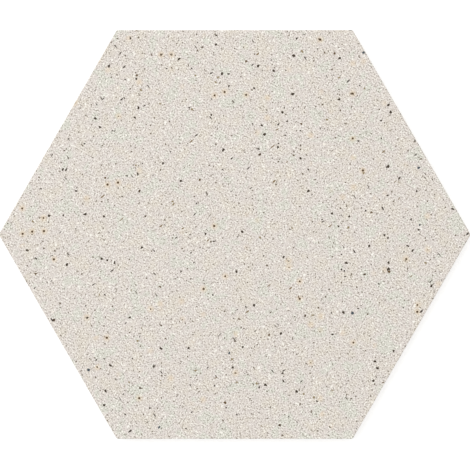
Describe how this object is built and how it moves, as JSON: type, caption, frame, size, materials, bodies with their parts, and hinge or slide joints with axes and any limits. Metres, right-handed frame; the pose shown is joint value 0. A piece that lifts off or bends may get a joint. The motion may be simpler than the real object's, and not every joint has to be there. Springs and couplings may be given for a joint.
{
  "type": "hexagon floor tile",
  "caption": "Flat hexagonal porcelain floor tile with a fine terrazzo speckle, softened edges and a shallow keyed back; laid side by side to pave a floor or wall.",
  "frame": {"origin": "middle of the back, on the plane that the tile lies on", "axes": "+Z out of the wearing face; +X from the middle to a corner; +Y square to a flat side"},
  "size_m": [0.2652, 0.23, 0.009],
  "materials": {
    "porcelain": "matte"
  },
  "bodies": {
    "root": {"floor_tile": "porcelain"}
  },
  "joints": []
}
